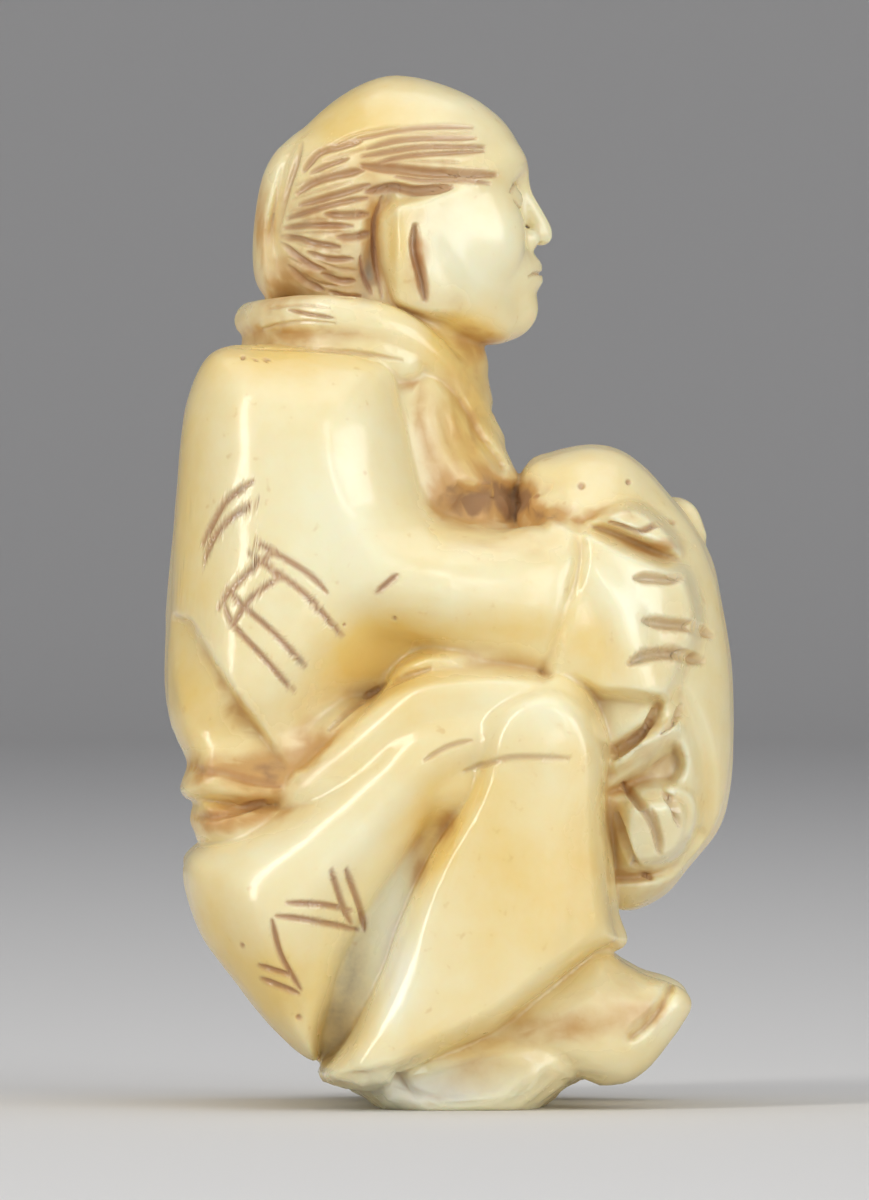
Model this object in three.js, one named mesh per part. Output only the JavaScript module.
// A netsuke of a seated figure hugging a full cloth bag, carved in one piece.
// Millimetres. X points the way the figure faces, Z is up, and the flat underside is Z = 0.
// The carving is worked out as a distance field, where a form is negative inside and positive outside.
import * as THREE from 'three';

const { clamp, smoothstep } = THREE.MathUtils;

// Driving dimensions
const BODY_TAPER = 0.011;
const TAPER_START = 15;
const TAPER_REACH = 22;
const TAIL_DROP = 0.6;
const TAIL_FADE = 3.2;
const ARM_NARROWING = 0.065;
const ARM_REACH = 8;
const ARMPIT_DEPTH = 0.5;
const ARM_SEAM_HIGH = 27;
const ARM_SEAM_LOW = 22.5;
const SASH_LEAN = 0.05;
const SASH_LIP = 14.4;
const SASH_HEIGHT = 3;
const CALF_SLOPE = 0.16;
const SHIN_SLOPE = 0.14;
const FOOT_NARROWING = 0.05;
const INSTEP = 4;
const HAND_RISE = 1.25;
const HAND_REACH = 2.2;
const THUMB_ROOT_DROP = 0.5;
const GATHER_RISE = 0.9;
const POCKET_DEPTH = 0.8;
const EAR_RISE = 0.9;
const EAR_BACK = -2.4;
const EAR_FRONT = 1.6;
const BEHIND_EAR = 0.45;
const HAIR_RISE = 0.2;
const KNOT_MIDDLE = 41.7;
const KNOT_WAIST = 0.09;
const KNOT_SEAM_HIGH = 41;
const KNOT_SEAM_LOW = 38.2;
const LOCK_COUNT = 8;
const LOCK_DEPTH = 0.36;
const LOCK_HALF_WIDTH = 0.5;
const LOCK_ARCH = 0.35;
const CORD_HOLE_RADIUS = 1.7;
const CORD_EXIT_RADIUS = 1.3;

// Roundness of the seams where forms meet
const CRISP = 0.2;
const SMALL = 0.3;
const SOFT = 0.6;
const BROAD = 1.2;

// The grid, and the even, light surface made from it
const CELL = 0.5;
const LOW = [-14.2, -13.2, -0.73];
const HIGH = [14.2, 13.2, 48.9];
const CURVE_STEPS = 6;
const LIMB_STEPS = 4;
const SMOOTHING_ROUNDS = 3;
const TRIANGLES = 9800;
const EVEN_OUT = 4e-4;
const LEAST_HEIGHT = 0.05;
const FLAT_WEIGHT = 1000;

// How each outline reaches sideways: the middle it grows from, how far it stays flat, how far it rises
// past that, and how wide its rounded edge is in the side view
const DEPTHS = {
  jacket: { middle: 0, flat: 5, rise: 6.2, edge: 4.8 },
  chest: { middle: 0, flat: 1.5, rise: 6.2, edge: 6 },
  forearm: { middle: 6, flat: 1, rise: 3.7, edge: 3 },
  lap: { middle: 0, flat: 6.9, rise: 3.6, edge: 2.2 },
  bag: { middle: 0, flat: 0.6, rise: 7.4, edge: 6.5 },
  thigh: { middle: 5.4, flat: 0.8, rise: 5.8, edge: 4.2 },
  shin: { middle: 6, flat: 1.9, rise: 3.7, edge: 1.2 },
  hips: { middle: 0, flat: 2.6, rise: 6, edge: 5 },
  upperSash: { middle: 0, flat: 6, rise: 3.7, edge: 1.2 },
  lowerSash: { middle: 0, flat: 5.6, rise: 3.7, edge: 1.4 },
  foot: { middle: 5.9, flat: 0.8, rise: 3, edge: 2.2 },
  seat: { middle: 0, flat: 5.5, rise: 3.9, edge: 1.8 },
  head: { middle: 0, flat: 0, rise: 5.2, edge: 5.2 },
  knot: { middle: 0, flat: 0.4, rise: 2.6, edge: 1.2 },
};

// Closed outlines in the side view, as X and Z, with how far each is softened inside
const OUTLINES = {
  jacket: {
    soften: 1.0,
    points: [
      [-10.3, 35.15], [-11.4, 34.5], [-12.1, 33.0], [-12.5, 30.8], [-12.8, 27], [-13.0, 23],
      [-13.15, 19.6], [-12.95, 17.6], [-12.1, 16.5], [-10.2, 15.9], [-7.8, 15.4], [-6.2, 17.4],
      [-3.9, 19.9], [-2.0, 21.9], [-0.4, 22.7], [1.5, 24.5], [1.2, 26.7], [-0.2, 27.3], [-1.0, 28.6],
      [-1.6, 30.6], [-2.15, 32.6], [-2.9, 34.4], [-5, 35.1], [-8, 35.15],
    ],
  },
  chest: {
    soften: 1.0,
    points: [
      [-10.3, 35.1], [-11.4, 34.5], [-12.1, 33.0], [-12.5, 30.8], [-12.8, 27], [-12.9, 23], [-12.5, 19],
      [-10, 17], [-5, 16.5], [0, 18], [4, 22], [4.0, 27.2], [2.9, 29.7], [2.35, 30.9], [1.8, 32.0],
      [1.8, 32.7], [1.4, 33.8], [1.15, 34.8], [-1.5, 35.8], [-6, 35.4],
    ],
  },
  forearm: {
    soften: 0.3,
    points: [
      [-5, 27.2], [-2, 26.9], [0.6, 26.65], [3.2, 26.75], [5.75, 26.95], [8, 27.1], [9.2, 25], [9, 22],
      [7.5, 20.2], [4.3, 20.1], [2, 20.6], [-0.5, 21.3], [-3.0, 21.9], [-5.5, 23.5],
    ],
  },
  sleeveEnd: {
    soften: 0,
    points: [
      [5.85, 27.8], [5.95, 25.6], [5.6, 24.1], [5.05, 22.3], [4.35, 20.4], [3.6, 18.5], [0, 18],
      [-8, 19], [-9, 24], [-8, 28], [0, 29.5],
    ],
  },
  tail: {
    soften: 0,
    points: [
      [-12.1, 22.6], [-11.4, 21.6], [-10.4, 20.0], [-9.4, 18.5], [-8.3, 16.9], [-7.5, 15.2],
      [-8.5, 13.8], [-12, 13.6], [-14.6, 16], [-14.6, 20], [-13.6, 22.4],
    ],
  },
  lap: {
    soften: 0.7,
    points: [
      [-7.9, 15.8], [-6, 17.4], [-4, 19.2], [-2, 20.8], [0.5, 21.3], [4.2, 20.8], [6.5, 19.2], [7, 15],
      [2, 13], [-4, 13], [-8, 13.5],
    ],
  },
  bag: {
    soften: 1.2,
    points: [
      [2.6, 27.5], [3.5, 29.75], [4.8, 30.35], [6.5, 30.65], [7.8, 30.45], [8.9, 29.7], [10.0, 28.5],
      [11.3, 26.9], [12.2, 25.1], [12.75, 22.4], [13.1, 19.5], [13.15, 16.8], [12.95, 14.6],
      [12.35, 12.7], [11.0, 11.0], [9.7, 9.6], [8.0, 9.0], [6, 10], [4, 13], [3, 18], [2.4, 23],
    ],
  },
  thigh: {
    soften: 0.9,
    points: [
      [-12.35, 10.8], [-11.8, 12.0], [-9.6, 13.2], [-7.5, 14.6], [-6, 15.8], [-4.8, 17], [-3.4, 18.2],
      [-1.8, 19.05], [0.2, 19.45], [2.3, 19.8], [4.3, 19.9], [5.7, 19.3], [6.75, 18.1], [7.2, 16.4],
      [6, 14.2], [3, 13.6], [1.3, 14.7], [-0.3, 13.2], [-1.9, 11.1], [-3.7, 8.6], [-4.9, 6.1],
      [-5.8, 3.7], [-6.4, 2.2], [-8.5, 4.0], [-10.4, 6.4], [-11.7, 8.4],
    ],
  },
  shin: {
    soften: 0.5,
    points: [
      [2.6, 19.2], [4.3, 19.7], [5.7, 19.2], [6.75, 18.0], [7.25, 16.5], [7.3, 14], [7.5, 11.2],
      [7.75, 9.0], [8.05, 7.6], [6.4, 6.85], [4.2, 5.3], [2.2, 3.8], [-1, 2.3], [-3.6, 1.0], [-6.1, 1.5],
      [-4.8, 3.6], [-3.5, 6.2], [-2.55, 8.7], [-1.4, 11.25], [-0.1, 13.4], [0.7, 15.0], [1.5, 17.8],
    ],
  },
  calfFace: {
    soften: 0,
    points: [
      [1.5, 15.6], [0.7, 13.4], [-0.3, 11.25], [-1.05, 8.7], [-1.6, 6.2], [-2.9, 3.6], [-4.5, 1.9],
      [-5.5, 0], [6, 0], [12, 8], [12, 16], [8, 20.5], [3, 20],
    ],
  },
  shinFace: {
    soften: 0,
    points: [
      [6.5, 18.6], [6.2, 17.3], [5.7, 15], [5.1, 12.1], [4.6, 8.8], [4.2, 5.5], [3.6, 2.5], [-4, 0],
      [-8, 8], [-4, 19], [3, 21],
    ],
  },
  hips: {
    soften: 1.0,
    points: [
      [-12.35, 10.8], [-12.0, 12.0], [-9, 13.5], [-4, 16], [3, 18], [6, 14], [7, 9], [6.4, 6], [6, 3],
      [4.6, 0.3], [2.8, -0.9], [-2.0, -0.9], [-3.6, 0.1], [-4.8, 1.0], [-6.4, 2.2], [-8.5, 4.0],
      [-10.3, 6.3], [-11.6, 8.3],
    ],
  },
  upperSash: {
    soften: 0.4,
    points: [
      [-11.7, 16.8], [-12.1, 15.8], [-12.45, 14.95], [-12.35, 14.45], [-11.6, 14.1], [-8.5, 13.7],
      [-3, 15], [-3, 19], [-7, 18], [-10, 17.4],
    ],
  },
  lowerSash: {
    soften: 0.4,
    points: [
      [-11.5, 14.6], [-11.95, 13.9], [-12.05, 13.3], [-11.85, 12.7], [-11.3, 12.0], [-8, 11], [-3, 12],
      [-3, 15], [-8, 14.6],
    ],
  },
  foot: {
    soften: 0.6,
    points: [
      [8.1, 6.6], [9, 6.15], [10.2, 5.8], [10.9, 5.35], [11.1, 4.7], [10.7, 3.9], [10.0, 2.95],
      [9.4, 2.2], [8.7, 1.6], [7.9, 1.2], [7, 1.1], [6.1, 1.35], [4, 2], [2, 2.8], [1, 3.5], [3.5, 5.5],
      [6.5, 7.3],
    ],
  },
  seat: {
    soften: 0.4,
    points: [
      [5.9, 1.45], [5.2, 0.9], [4.3, 0.2], [3.2, -0.7], [1, -1.0], [-1.2, -1.0], [-3.0, -0.2],
      [-4.3, 0.8], [-5.2, 1.6], [-3, 3], [1, 4], [4, 4], [5.6, 3],
    ],
  },
  head: {
    soften: 1.0,
    points: [
      [-3.0, 47.8], [-5.3, 46.75], [-7.0, 45.2], [-8.0, 43.6], [-8.5, 41.5], [-8.4, 39.3], [-7.4, 37.4],
      [-4.5, 36.0], [-1, 35.3], [1.3, 35.5], [2.7, 36.1], [3.3, 37.6], [3.35, 39.5], [3.35, 41.5],
      [3.4, 43.3], [3.1, 44.7], [2.0, 46.1], [-0.2, 47.35],
    ],
  },
  knot: {
    soften: 0.3,
    points: [
      [-7.0, 45.1], [-8.1, 44.3], [-8.8, 42.9], [-9.15, 41.0], [-9.2, 39.4], [-8.9, 38.0], [-8.0, 37.4],
      [-8.0, 40.6], [-7.6, 42.4], [-7.0, 44.3],
    ],
  },
  hair: {
    soften: 0,
    points: [
      [1.5, 44.95], [-1, 45.35], [-4, 45.3], [-6.4, 45.2], [-7.6, 46.0], [-9.5, 43], [-9.5, 38.5],
      [-8.6, 37.0], [-5, 36.6], [-3.6, 37.0], [-3.6, 39], [-3.85, 40.5], [-3.9, 41.9], [-3.1, 42.5],
      [-1.6, 42.3], [0.1, 42.4], [1.9, 42.9], [1.7, 43.25], [0.5, 43.7], [1.4, 44.2],
    ],
  },
  ear: {
    soften: 0,
    points: [
      [0.6, 42.7], [-1.3, 42.15], [-2.7, 41.8], [-3.35, 41.0], [-3.4, 39.6], [-3.15, 38.2], [-2.8, 37.1],
      [-1.8, 36.6], [-0.6, 36.4], [1.2, 36.8], [3, 39], [2.6, 42],
    ],
  },
  hand: {
    soften: 0,
    points: [
      [4.0, 27.1], [6.0, 27.0], [7.3, 26.5], [8.5, 25.9], [9.7, 25.4], [10.9, 25.0], [11.45, 23.8],
      [11.65, 22.6], [11.5, 21.4], [10.9, 20.3], [10.5, 19.3], [9.8, 18.65], [7.8, 18.8], [6.6, 18.95],
      [5.2, 19.7], [3.8, 20.4],
    ],
  },
  thumb: {
    soften: 0,
    points: [
      [5.6, 26.9], [6.9, 27.6], [7.8, 28.0], [8.8, 27.95], [9.8, 27.3], [10.5, 26.4], [10.85, 25.2],
      [9.7, 25.4], [8.5, 25.9], [7.3, 26.4],
    ],
  },
  gather: {
    soften: 0,
    points: [
      [7.8, 14.2], [9.5, 14.6], [10.4, 14.6], [11.1, 14.0], [11.3, 13.2], [11.1, 12.1], [10.2, 11.2],
      [8.6, 10.8], [7.8, 11.1], [7.5, 12.6],
    ],
  },
  pocket: {
    soften: 0,
    points: [
      [7.2, 14.6], [8.4, 15.6], [9.6, 16.5], [10.4, 16.9], [10.8, 15.9], [10.3, 14.9], [9.3, 14.8],
      [8.0, 14.5],
    ],
  },
  armpit: {
    soften: 0,
    points: [
      [-1.0, 26.6], [-0.6, 27.9], [0.4, 28.8], [2.0, 28.7], [3.0, 28.9], [3.7, 28.1], [4.7, 27.5],
      [5.7, 27.2], [5.2, 26.8], [2, 26.6],
    ],
  },
};

// Grooves and ridges drawn as open lines in the side view, with half width and depth
const GROOVES = {
  upperHem: {
    half: 0.9,
    depth: 0.4,
    points: [
      [-8.2, 15.6], [-6.9, 16.6], [-5.2, 18.3], [-3.2, 20.4], [-1.6, 21.6], [1.5, 21.0], [4.3, 20.4],
    ],
  },
  lowerHem: {
    half: 0.7,
    depth: 0.4,
    points: [
      [-6.8, 16.1], [-5, 17.9], [-3, 19.4], [-1, 20.1], [2, 20.35], [4.2, 20.2],
    ],
  },
  knuckles: { half: 1.5, depth: 0.35, points: [[6.3, 24.6], [7.6, 23.0], [8.4, 20.9], [9.0, 19.4]] },
  lapel: { half: 0.4, depth: 0.3, points: [[-1.4, 35.0], [0.1, 33.0], [1.2, 31.1], [2.3, 29.6]] },
  bagFold: { half: 0.45, depth: 0.45, points: [[9.5, 18.7], [9.3, 17.9], [8.6, 17.3], [7.6, 16.6]] },
  bagRim: {
    half: 0.7,
    depth: 0.3,
    points: [
      [10.6, 18.9], [11.2, 17.5], [11.6, 16], [11.75, 14], [11.6, 12.6],
    ],
  },
  firstFinger: { half: 0.65, depth: 0.5, points: [[8.5, 24.45], [9.5, 24.4], [10.6, 24.5]] },
  secondFinger: { half: 0.65, depth: 0.5, points: [[8.9, 22.45], [10.2, 22.35], [11.9, 21.8]] },
  thirdFinger: { half: 0.65, depth: 0.5, points: [[8.3, 20.7], [9.2, 20.95], [10.3, 20.95], [11.5, 20.6]] },
  earSlit: { half: 0.6, depth: 0.6, points: [[-1.65, 40.7], [-1.65, 39.6], [-1.4, 38.5], [-1.2, 37.3]] },
};

// Where the locks of hair start at the knot, and where they end around the temple and the ear
const LOCK_ROOTS = [[-6.4, 44.4], [-7.2, 43], [-7.7, 41.2], [-7.8, 39.4], [-7.4, 38.2]];
const LOCK_TIPS = [
  [-0.5, 45.3], [1.4, 44.7], [1.7, 44.1], [2.2, 43.2], [0.0, 42.7], [-3.6, 42.6], [-4.1, 41.3],
  [-4.1, 40.2], [-4.2, 39], [-4.2, 38], [-5, 37.3],
];

// Round limbs as X, Y, Z and radius at each point
const COLLAR = [
  [-9.15, 0, 36.45, 0.9], [-8.4, 2.7, 36.5, 0.9], [-6.5, 4.5, 36.6, 0.95], [-4.2, 5.0, 36.35, 1.05],
  [-2.2, 4.7, 35.6, 1.05], [-0.6, 3.9, 34.3, 0.95], [0.6, 2.6, 32.6, 0.85], [1.75, 1.0, 30.9, 0.7],
];
const YOKE = [
  [-9.0, 0, 35.5, 0.75], [-8.2, 2.6, 35.5, 0.85], [-6.3, 4.2, 35.5, 0.95], [-4.0, 4.9, 35.2, 1.0],
  [-2.2, 4.8, 34.4, 0.9],
];
const NECK = [[-2.8, 0, 39, 4.1], [-3.2, 0, 33, 4.8]];
const ELBOW_POCKET = [[0.6, 9.0, 28.0, 0.9], [2.5, 7.6, 27.8, 0.9], [4.2, 7.6, 27.7, 0.6]];
const WRIST = [[3.6, 7.3, 24.8, 2.0], [4.9, 7.5, 22.8, 2.1], [5.5, 7.4, 21.0, 1.9]];
const RECESS_FLOOR = [
  [0.0, 7.8, 14.0, 1.4], [-1.9, 7.5, 11.0, 1.4], [-4.0, 6.9, 7.4, 1.4], [-5.4, 6.0, 4.0, 1.2],
];
const FAR_THUMB = [
  [9.4, 4.6, 27.2, 0.7], [10.3, 2.6, 27.5, 0.75], [10.85, 0.9, 27.3, 0.7], [11.3, 0.2, 26.4, 0.6],
];
const CORD_CHANNEL = [
  [-15, 3.4, 26.6, CORD_HOLE_RADIUS], [-11.2, 3.2, 25.2, CORD_HOLE_RADIUS], [-9.8, 2.8, 22.6, 1.4],
  [-11.2, 2.6, 20.2, CORD_EXIT_RADIUS], [-15.2, 2.6, 19.2, CORD_EXIT_RADIUS],
];
const BROW = [
  [2.95, 0, 43.5, 0.4], [2.8, 1.3, 43.7, 0.45], [2.15, 2.6, 43.5, 0.4], [0.9, 3.8, 42.8, 0.3],
];
const JAW = [[-1.8, 3.9, 39.2, 0.9], [-0.2, 3.7, 37.5, 0.9], [1.6, 2.2, 36.5, 0.9], [2.6, 0, 36.6, 1.0]];
const NOSE = [[3.0, 0, 43.1, 0.35], [3.55, 0, 42.0, 0.4], [4.15, 0, 40.75, 0.5], [4.25, 0, 40.4, 0.5]];
const UPPER_LIP = [
  [3.95, 0, 38.95, 0.3], [3.85, 0.4, 39.0, 0.32], [3.55, 0.9, 38.85, 0.28], [3.1, 1.4, 38.6, 0.15],
];
const LOWER_LIP = [[3.95, 0, 38.3, 0.33], [3.7, 0.6, 38.32, 0.32], [3.3, 1.15, 38.45, 0.18]];

// Rounded forms of the head, as X, Y and Z of the middle and of the radii
const SKULL = { centre: [-2.6, 0, 42], radii: [7.6, 5.2, 8.5] };
const CHEEK = { centre: [1.5, 2.5, 40.2], radii: [1.7, 1.6, 1.8] };
const EYE_SOCKET = { centre: [3.9, 1.55, 42.2], radii: [1, 1.1, 0.8] };
const EYELIDS = { centre: [2.35, 1.65, 42], radii: [0.95, 1, 0.75] };
const NOSTRIL = { centre: [3.6, 0.62, 40.25], radii: [0.55, 0.42, 0.45] };
const MOUTH = { centre: [2.95, 0, 38.6], radii: [1.15, 1.8, 1.2] };
const CHIN = { centre: [3, 0, 36.95], radii: [0.95, 1.2, 0.85] };

// Smooth curves through points

function curve(points, closed, steps) {
  const last = points.length - 1;
  const at = (i) => points[closed ? (i + points.length) % points.length : Math.min(Math.max(i, 0), last)];
  const result = [];
  for (let i = 0; i < (closed ? points.length : last); i++) {
    const corners = [at(i - 1), at(i), at(i + 1), at(i + 2)];
    for (let s = 0; s < steps; s++) {
      const t = s / steps;
      result.push(points[0].map((_, axis) => {
        const [a, b, c, d] = corners.map((p) => p[axis]);
        const square = 2 * a - 5 * b + 4 * c - d;
        const cube = 3 * b - a - 3 * c + d;
        return 0.5 * (2 * b + (c - a) * t + square * t * t + cube * t ** 3);
      }));
    }
  }
  return closed ? result : [...result, points[last]];
}

// Distances

function toSegment(x, z, a, b) {
  const ex = b[0] - a[0];
  const ez = b[1] - a[1];
  const t = clamp(((x - a[0]) * ex + (z - a[1]) * ez) / (ex * ex + ez * ez), 0, 1);
  return Math.hypot(x - a[0] - t * ex, z - a[1] - t * ez);
}

function toOutline(polygon, x, z) {
  let nearest = Infinity;
  let within = false;
  for (let i = 0; i < polygon.length; i++) {
    const a = polygon[i];
    const b = polygon[(i + 1) % polygon.length];
    nearest = Math.min(nearest, toSegment(x, z, a, b));
    if (a[1] > z !== b[1] > z && x < ((b[0] - a[0]) * (z - a[1])) / (b[1] - a[1]) + a[0]) within = !within;
  }
  return within ? -nearest : nearest;
}

function toLine(path, x, z) {
  let nearest = Infinity;
  for (let i = 1; i < path.length; i++) nearest = Math.min(nearest, toSegment(x, z, path[i - 1], path[i]));
  return nearest;
}

function ramp(value, low, high) {
  return smoothstep(value, low, high);
}

// 1 on a line, and 0 at its half width and beyond
function notch(distance, half) {
  return 1 - ramp(distance, 0, half);
}

// Joins and cuts with a rounded seam

function join(a, b, seam) {
  const h = Math.max(seam - Math.abs(a - b), 0) / seam;
  return Math.min(a, b) - h * h * seam * 0.25;
}

function common(a, b, seam) {
  return -join(-a, -b, seam);
}

function cut(a, b, seam) {
  return -join(-a, b, seam);
}

// A side-view outline given depth
function puff(p, name, side = p.side) {
  const { middle, flat, rise, edge } = DEPTHS[name];
  const across = Math.max(Math.abs(side - middle) - flat, 0) * (edge / rise);
  const inward = p.map(name) + edge;
  return Math.hypot(Math.max(inward, 0), across) + Math.min(Math.max(inward, across), 0) - edge;
}

function ball(p, { centre, radii }) {
  const d = [p.x - centre[0], p.side - centre[1], p.z - centre[2]];
  const near = Math.hypot(d[0] / radii[0], d[1] / radii[1], d[2] / radii[2]) + 1e-6;
  const slope = Math.hypot(d[0] / radii[0] ** 2, d[1] / radii[1] ** 2, d[2] / radii[2] ** 2) + 1e-6;
  return (near * (near - 1)) / slope;
}

// A round tapering limb through points that hold X, Y, Z and radius
function limb(path, x, y, z) {
  let nearest = Infinity;
  for (let i = 1; i < path.length; i++) {
    const a = path[i - 1];
    const b = path[i];
    const e = [b[0] - a[0], b[1] - a[1], b[2] - a[2]];
    const along = (x - a[0]) * e[0] + (y - a[1]) * e[1] + (z - a[2]) * e[2];
    const t = clamp(along / (e[0] ** 2 + e[1] ** 2 + e[2] ** 2), 0, 1);
    const gap = Math.hypot(x - a[0] - t * e[0], y - a[1] - t * e[1], z - a[2] - t * e[2]);
    nearest = Math.min(nearest, gap - a[3] - t * (b[3] - a[3]));
  }
  return nearest;
}

// The grid on which the carving is worked out

const COUNT = LOW.map((low, axis) => Math.ceil((HIGH[axis] - low) / CELL) + 1);
const placeAt = (axis, i) => LOW[axis] + i * CELL;

// One value for each X and Z of the grid
function drawMap(measure) {
  const map = new Float64Array(COUNT[0] * COUNT[2]);
  for (let i = 0; i < COUNT[0]; i++) {
    for (let k = 0; k < COUNT[2]; k++) map[i * COUNT[2] + k] = measure(placeAt(0, i), placeAt(2, k));
  }
  return map;
}

// Rounds the ridge lines inside an outline's distance, and leaves it exact at the outline
function softenMap(map, radius) {
  const reach = Math.round(radius / CELL);
  let smooth = map;
  for (let pass = 0; pass < 2 * (reach > 0); pass++) {
    for (const axis of [0, 2]) {
      const source = smooth;
      const limit = COUNT[axis] - 1;
      smooth = source.map((_, index) => {
        const i = Math.floor(index / COUNT[2]);
        const k = index % COUNT[2];
        let sum = 0;
        for (let step = -reach; step <= reach; step++) {
          const moved = clamp((axis === 0 ? i : k) + step, 0, limit);
          sum += source[axis === 0 ? moved * COUNT[2] + k : i * COUNT[2] + moved];
        }
        return sum / (2 * reach + 1);
      });
    }
  }
  return map.map((value, index) => value + (smooth[index] - value) * ramp(-value, 0.2, 1.6));
}

function drawMaps() {
  const maps = {};
  for (const [name, { points, soften }] of Object.entries(OUTLINES)) {
    const polygon = curve(points, true, CURVE_STEPS);
    maps[name] = softenMap(drawMap((x, z) => toOutline(polygon, x, z)), soften);
  }
  for (const [name, { points, half, depth }] of Object.entries(GROOVES)) {
    const path = curve(points, false, CURVE_STEPS);
    maps[name] = drawMap((x, z) => depth * notch(toLine(path, x, z), half));
  }
  const locks = lockPaths();
  maps.locks = drawMap((x, z) => {
    const deepest = Math.max(...locks.map((path) => notch(toLine(path, x, z), LOCK_HALF_WIDTH)));
    return LOCK_DEPTH * deepest;
  });
  return maps;
}

// Grooves between the locks of hair, fanned out from the knot
function lockPaths() {
  const roots = curve(LOCK_ROOTS, false, 20);
  const tips = curve(LOCK_TIPS, false, 20);
  return Array.from({ length: LOCK_COUNT }, (_, i) => {
    const t = (i + 0.5) / LOCK_COUNT;
    const a = roots[Math.floor(t * (roots.length - 1))];
    const b = tips[Math.floor(t * (tips.length - 1))];
    const middle = [(a[0] + b[0]) / 2, (a[1] + b[1]) / 2 + LOCK_ARCH];
    return curve([a, middle, b], false, CURVE_STEPS);
  });
}

const MAPS = drawMaps();
const PATHS = Object.fromEntries(
  Object.entries({
    collar: COLLAR, yoke: YOKE, neck: NECK, elbowPocket: ELBOW_POCKET, wrist: WRIST, farThumb: FAR_THUMB,
    recessFloor: RECESS_FLOOR, cord: CORD_CHANNEL, brow: BROW, jaw: JAW, nose: NOSE, upperLip: UPPER_LIP,
    lowerLip: LOWER_LIP,
  }).map(([name, points]) => [name, curve(points, false, LIMB_STEPS)]),
);

// A limb on both sides of the figure
function limbs(p, name) {
  return limb(PATHS[name], p.x, p.side, p.z);
}

// How far inside an outline a place is, from 0 to 1 over a width
function inside(p, name, start, end) {
  return ramp(-p.map(name), start, end);
}

// The parts of the figure

function jacketAndArm(p, width) {
  const tail = inside(p, 'tail', -0.15, 0.25) * (1 - inside(p, 'tail', 0.3, TAIL_FADE));
  const jacket = puff(p, 'jacket', width) + TAIL_DROP * tail * ramp(p.side, 4.5, 7.5);
  const { middle } = DEPTHS.forearm;
  const narrow = 1 + ARM_NARROWING * clamp(p.x, 0, ARM_REACH);
  const forearm = puff(p, 'forearm', middle + (p.side - middle) * narrow);
  return join(jacket, common(forearm, p.map('sleeveEnd'), BROAD), BROAD);
}

function chestAndLap(p, width) {
  const hollows = p.map('lapel') * ramp(p.side, 2, 3) + ARMPIT_DEPTH * inside(p, 'armpit', -0.3, 0.6);
  const chest = puff(p, 'chest', width) + hollows;
  const lap = puff(p, 'lap') + p.map('lowerHem') + p.map('upperHem');
  return join(join(chest, limbs(p, 'neck'), BROAD), lap, SOFT);
}

function bagForm(p) {
  const lines = p.map('bagFold') + p.map('bagRim');
  const gather = GATHER_RISE * inside(p, 'gather', -0.1, 0.8);
  const pocket = POCKET_DEPTH * inside(p, 'pocket', -0.2, 0.5);
  return puff(p, 'bag') - (gather - lines - pocket) * ramp(p.side, 2, 4);
}

// The hand lies over the bag, so its forms are heights above the bag
function hand(p, bag) {
  const gaps = Math.max(p.map('firstFinger'), p.map('secondFinger'), p.map('thirdFinger'));
  const back = HAND_RISE * inside(p, 'hand', -0.15, 0.7) + p.map('knuckles') * inside(p, 'hand', 0, 0.6);
  const root = THUMB_ROOT_DROP * inside(p, 'hand', -0.75, -0.2);
  const thumb = HAND_RISE * inside(p, 'thumb', -0.15, 0.6) - root;
  return common(bag - Math.max(back - gaps, thumb), HAND_REACH - p.side, SOFT);
}

// The shin has a plane down its calf and another down its front
function leg(p) {
  const planes = CALF_SLOPE * Math.max(p.map('calfFace'), 0) + SHIN_SLOPE * Math.max(p.map('shinFace'), 0);
  return join(puff(p, 'thigh'), puff(p, 'shin') + planes * ramp(p.side, 6, 8), SOFT);
}

function foot(p) {
  const { middle } = DEPTHS.foot;
  const narrow = 1 + FOOT_NARROWING * Math.max(p.x - INSTEP, 0);
  return puff(p, 'foot', middle + (p.side - middle) * narrow);
}

// Two bands around the waist, the upper one slanting out to its lower lip
function sash(p) {
  const lean = p.side * (1 + SASH_LEAN * clamp(p.z - SASH_LIP, 0, SASH_HEIGHT));
  return join(puff(p, 'upperSash', lean), puff(p, 'lowerSash'), CRISP);
}

function face(p) {
  let form = common(puff(p, 'head'), ball(p, SKULL), BROAD);
  form = join(form, limbs(p, 'brow'), BROAD);
  form = join(form, ball(p, CHEEK), BROAD);
  form = join(form, limbs(p, 'jaw'), BROAD);
  form = cut(form, ball(p, EYE_SOCKET), SOFT);
  form = join(form, ball(p, EYELIDS), SMALL);
  form = join(form, limbs(p, 'nose'), SOFT);
  form = join(form, ball(p, NOSTRIL), SMALL);
  form = join(form, ball(p, MOUTH), BROAD);
  form = join(form, limbs(p, 'upperLip'), SMALL);
  form = join(form, limbs(p, 'lowerLip'), SMALL);
  return join(form, ball(p, CHIN), SOFT);
}

function head(p) {
  const hair = HAIR_RISE * inside(p, 'hair', -0.15, 0.8) - p.map('locks') * ramp(p.side, 0.8, 1.6);
  const knot = puff(p, 'knot', p.side * (1 + KNOT_WAIST * Math.abs(p.z - KNOT_MIDDLE)));
  const knotSeam = CRISP + BROAD * (1 - ramp(p.z, KNOT_SEAM_LOW, KNOT_SEAM_HIGH));
  const ear = EAR_RISE * inside(p, 'ear', -0.15, 0.45) * (1 - ramp(p.x, EAR_BACK, EAR_FRONT));
  const hollow = BEHIND_EAR * inside(p, 'ear', -0.9, -0.1) * ramp(EAR_BACK - p.x, 0, SOFT);
  return join(face(p) - hair, knot, knotSeam) - (ear - hollow - p.map('earSlit')) * ramp(p.side, 2, 3);
}

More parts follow.
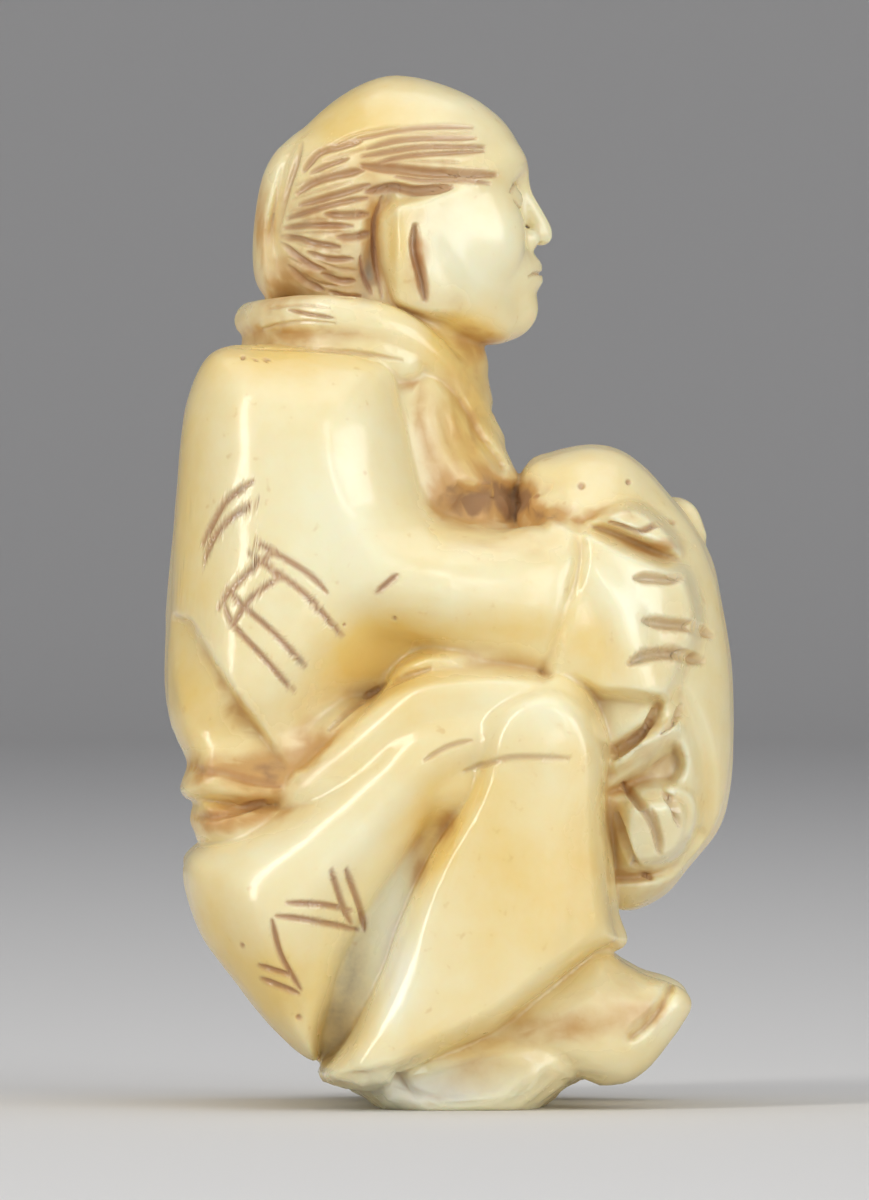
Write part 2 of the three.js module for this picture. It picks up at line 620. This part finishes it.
function figure(p) {
  const width = p.side * (1 + BODY_TAPER * clamp(p.z - TAPER_START, 0, TAPER_REACH));
  const bag = bagForm(p);
  let form = join(chestAndLap(p, width), puff(p, 'hips'), SOFT);
  form = join(form, sash(p), CRISP);
  form = join(form, bag, CRISP);
  form = join(form, jacketAndArm(p, width), CRISP + 1 - ramp(p.z, ARM_SEAM_LOW, ARM_SEAM_HIGH));
  form = cut(form, limbs(p, 'elbowPocket'), SOFT);
  form = join(form, join(hand(p, bag), limbs(p, 'wrist'), SOFT), SMALL);
  form = join(form, limbs(p, 'recessFloor'), SOFT);
  form = join(form, leg(p), CRISP);
  form = join(form, puff(p, 'seat'), SMALL);
  form = join(form, foot(p), SMALL);
  form = join(form, limb(PATHS.farThumb, p.x, p.y, p.z), SMALL);
  form = join(form, join(limbs(p, 'collar'), limbs(p, 'yoke'), CRISP), SMALL);
  form = join(form, head(p), SMALL);
  form = cut(form, limb(PATHS.cord, p.x, p.y, p.z), SMALL);
  return Math.max(form, -p.z);
}

// The figure's distance at every corner of the grid
function workOutField() {
  const field = new Float64Array(COUNT[0] * COUNT[1] * COUNT[2]);
  let column = 0;
  const map = (name) => MAPS[name][column];
  for (let i = 0; i < COUNT[0]; i++) {
    for (let k = 0; k < COUNT[2]; k++) {
      column = i * COUNT[2] + k;
      for (let j = 0; j < COUNT[1]; j++) {
        const y = placeAt(1, j);
        const value = figure({ x: placeAt(0, i), y, z: placeAt(2, k), side: Math.abs(y), map });
        field[(i * COUNT[1] + j) * COUNT[2] + k] = value === 0 ? 1e-6 : value;
      }
    }
  }
  return field;
}

// Each cell of the grid is six tetrahedra around its diagonal, so the surface closes everywhere
function surfaceOf(field) {
  const corner = (i, j, k) => (i * COUNT[1] + j) * COUNT[2] + k;
  const placeOf = (c) => {
    const k = c % COUNT[2];
    const j = Math.floor(c / COUNT[2]) % COUNT[1];
    const i = Math.floor(c / (COUNT[1] * COUNT[2]));
    return new THREE.Vector3(placeAt(0, i), placeAt(1, j), placeAt(2, k));
  };
  const places = [];
  const found = new Map();
  const crossing = (a, b) => {
    const key = Math.min(a, b) * field.length + Math.max(a, b);
    if (!found.has(key)) {
      found.set(key, places.length);
      const place = placeOf(a).lerp(placeOf(b), field[a] / (field[a] - field[b]));
      if (Math.abs(place.z) < 1e-9) place.z = 0;
      places.push(place);
    }
    return found.get(key);
  };
  const faces = [];
  const addFace = (a, b, c, outward) => {
    const normal = places[b].clone().sub(places[a]).cross(places[c].clone().sub(places[a]));
    faces.push(normal.dot(outward) > 0 ? [a, b, c] : [a, c, b]);
  };
  const addTetrahedron = (corners) => {
    const inner = corners.filter((c) => field[c] < 0);
    const outer = corners.filter((c) => field[c] >= 0);
    if (inner.length === 0 || outer.length === 0) return;
    const middle = (list) => {
      const total = list.reduce((sum, c) => sum.add(placeOf(c)), new THREE.Vector3());
      return total.divideScalar(list.length);
    };
    const outward = middle(outer).sub(middle(inner));
    if (inner.length === 2) {
      const [a, b, c, d] = [[0, 0], [0, 1], [1, 1], [1, 0]].map(([m, n]) => crossing(inner[m], outer[n]));
      addFace(a, b, c, outward);
      addFace(a, c, d, outward);
    } else {
      const [lone, others] = inner.length === 1 ? [inner[0], outer] : [outer[0], inner];
      addFace(...others.map((c) => crossing(lone, c)), outward);
    }
  };
  const orders = [[0, 1, 2], [0, 2, 1], [1, 0, 2], [1, 2, 0], [2, 0, 1], [2, 1, 0]];
  for (let i = 0; i < COUNT[0] - 1; i++) {
    for (let j = 0; j < COUNT[1] - 1; j++) {
      for (let k = 0; k < COUNT[2] - 1; k++) {
        for (const order of orders) {
          const at = [i, j, k];
          const corners = [corner(...at)];
          for (const axis of order) {
            at[axis]++;
            corners.push(corner(...at));
          }
          addTetrahedron(corners);
        }
      }
    }
  }
  return { places, faces };
}

// Keeps the largest connected body of the surface
function largestBody({ places, faces }) {
  const parent = places.map((_, i) => i);
  const rootOf = (i) => {
    let root = i;
    while (parent[root] !== root) root = parent[root];
    while (parent[i] !== root) [parent[i], i] = [root, parent[i]];
    return root;
  };
  for (const [a, b, c] of faces) {
    parent[rootOf(a)] = rootOf(b);
    parent[rootOf(b)] = rootOf(c);
  }
  const sizes = new Map();
  for (const [a] of faces) sizes.set(rootOf(a), (sizes.get(rootOf(a)) ?? 0) + 1);
  const [largest] = [...sizes].sort((a, b) => b[1] - a[1])[0];
  return { places, faces: faces.filter(([a]) => rootOf(a) === largest) };
}

// Evens out the grid's own steps: each point moves towards the middle of its neighbours, then partly back
function smoothSurface({ places, faces }, rounds) {
  const near = places.map(() => new Set());
  for (const [a, b, c] of faces) {
    near[a].add(b).add(c);
    near[b].add(c).add(a);
    near[c].add(a).add(b);
  }
  let current = places;
  for (let round = 0; round < rounds; round++) {
    for (const strength of [0.5, -0.52]) {
      current = current.map((place, i) => {
        const middle = new THREE.Vector3();
        for (const n of near[i]) middle.add(current[n]);
        const moved = place.clone().lerp(middle.divideScalar(Math.max(near[i].size, 1)), strength);
        if (place.z === 0) moved.z = 0;
        return moved;
      });
    }
  }
  return { places: current, faces };
}

// A quadric holds the squared distance to the planes around a point, as ten numbers

function planeQuadric(normal, offset, weight) {
  const v = [normal.x, normal.y, normal.z, offset];
  const q = [];
  for (let i = 0; i < 4; i++) {
    for (let j = i; j < 4; j++) q.push(weight * v[i] * v[j]);
  }
  return q;
}

function errorAt(q, p) {
  const squares = q[0] * p.x * p.x + q[4] * p.y * p.y + q[7] * p.z * p.z + q[9];
  const products = q[1] * p.x * p.y + q[2] * p.x * p.z + q[5] * p.y * p.z;
  return squares + 2 * (products + q[3] * p.x + q[6] * p.y + q[8] * p.z);
}

// The point of least error, where the planes fix one near the edge, or else the best of three
function bestPlace(q, a, b) {
  const middle = a.clone().lerp(b, 0.5);
  const choices = [middle, a, b];
  const planes = new THREE.Matrix3().set(q[0], q[1], q[2], q[1], q[4], q[5], q[2], q[5], q[7]);
  if (Math.abs(planes.determinant()) > 1e-9) {
    const exact = new THREE.Vector3(-q[3], -q[6], -q[8]).applyMatrix3(planes.invert());
    if (exact.distanceTo(middle) < a.distanceTo(b)) choices.unshift(exact);
  }
  return choices.reduce((best, p) => (errorAt(q, p) < errorAt(q, best) - 1e-12 ? p : best)).clone();
}

class Heap {
  items = [];

  push(item) {
    let i = this.items.push(item) - 1;
    while (i > 0) {
      const up = (i - 1) >> 1;
      if (this.items[up].cost <= item.cost) break;
      this.items[i] = this.items[up];
      i = up;
    }
    this.items[i] = item;
  }

  pop() {
    const top = this.items[0];
    const item = this.items.pop();
    const size = this.items.length;
    let i = 0;
    while (2 * i + 1 < size) {
      let down = 2 * i + 1;
      if (down + 1 < size && this.items[down + 1].cost < this.items[down].cost) down++;
      if (this.items[down].cost >= item.cost) break;
      this.items[i] = this.items[down];
      i = down;
    }
    if (size > 0) this.items[i] = item;
    return top;
  }
}

// Draws the edges in one by one, the flattest first, until few enough triangles are left
function simplify({ places, faces }, target) {
  const around = places.map(() => new Set());
  const quadrics = places.map(() => new Array(10).fill(0));
  const version = places.map(() => 0);
  const alive = faces.map(() => true);
  faces.forEach((face, index) => {
    const [a, b, c] = face.map((i) => places[i]);
    const normal = b.clone().sub(a).cross(c.clone().sub(a));
    const area = normal.length() / 2;
    if (area > 0) normal.divideScalar(2 * area);
    const q = planeQuadric(normal, -normal.dot(places[face[0]]), area);
    for (const i of face) {
      around[i].add(index);
      q.forEach((value, n) => (quadrics[i][n] += value));
      if (places[i].z === 0) quadrics[i][7] += FLAT_WEIGHT;
    }
  });
  const neighbours = (i) => new Set([...around[i]].flatMap((f) => faces[f]).filter((n) => n !== i));
  const heap = new Heap();
  const offer = (a, b) => {
    const q = quadrics[a].map((value, n) => value + quadrics[b][n]);
    const place = bestPlace(q, places[a], places[b]);
    const cost = Math.max(errorAt(q, place), 0) + EVEN_OUT * places[a].distanceToSquared(places[b]);
    heap.push({ cost, a, b, place, stamp: version[a] + version[b] });
  };
  const shapeOf = ([a, b, c]) => {
    const normal = b.clone().sub(a).cross(c.clone().sub(a));
    const longest = Math.max(a.distanceToSquared(b), b.distanceToSquared(c), c.distanceToSquared(a));
    return { normal, height: normal.length() / longest };
  };
  const spoils = (i, other, place) => {
    for (const f of around[i]) {
      if (faces[f].includes(other)) continue;
      const before = shapeOf(faces[f].map((n) => places[n]));
      const after = shapeOf(faces[f].map((n) => (n === i ? place : places[n])));
      const turned = before.normal.dot(after.normal) < 0.2 * before.normal.length() * after.normal.length();
      const thinned = after.height < LEAST_HEIGHT && after.height < before.height;
      if ((turned && before.height > 1e-3) || thinned) return true;
    }
    return false;
  };
  const drawIn = ({ a, b, place, stamp }) => {
    if (around[a].size === 0 || around[b].size === 0 || stamp !== version[a] + version[b]) return 0;
    const nearB = neighbours(b);
    const shared = [...neighbours(a)].filter((n) => nearB.has(n));
    if (shared.length !== 2 || spoils(a, b, place) || spoils(b, a, place)) return 0;
    places[a].copy(place);
    quadrics[b].forEach((value, n) => (quadrics[a][n] += value));
    for (const f of around[b]) {
      if (faces[f].includes(a)) {
        faces[f].forEach((n) => n !== b && around[n].delete(f));
        alive[f] = false;
      } else {
        faces[f] = faces[f].map((n) => (n === b ? a : n));
        around[a].add(f);
      }
    }
    around[b].clear();
    version[a]++;
    for (const n of neighbours(a)) offer(a, n);
    return 2;
  };
  let left = faces.length;
  let before = Infinity;
  while (left > target && left < before) {
    before = left;
    places.forEach((_, i) => {
      for (const n of neighbours(i)) if (n > i) offer(i, n);
    });
    while (left > target && heap.items.length > 0) left -= drawIn(heap.pop());
  }
  for (const place of places) if (Math.abs(place.z) < 1e-2) place.z = 0;
  return { places, faces: faces.filter((_, f) => alive[f]) };
}

function toGeometry({ places, faces }) {
  const geometry = new THREE.BufferGeometry();
  const used = [...new Set(faces.flat())];
  const renumbered = new Map(used.map((old, i) => [old, i]));
  const numbers = used.flatMap((i) => places[i].toArray());
  geometry.setAttribute('position', new THREE.Float32BufferAttribute(numbers, 3));
  geometry.setIndex(faces.flat().map((i) => renumbered.get(i)));
  geometry.computeVertexNormals();
  return geometry;
}

const ivory = new THREE.MeshStandardMaterial({ color: 0xe9dca8, roughness: 0.32, metalness: 0 });

const carved = smoothSurface(largestBody(surfaceOf(workOutField())), SMOOTHING_ROUNDS);
const netsuke = new THREE.Mesh(toGeometry(simplify(carved, TRIANGLES)), ivory);
netsuke.name = 'netsuke_figure';

const group = new THREE.Group();
group.add(netsuke);

export default group;
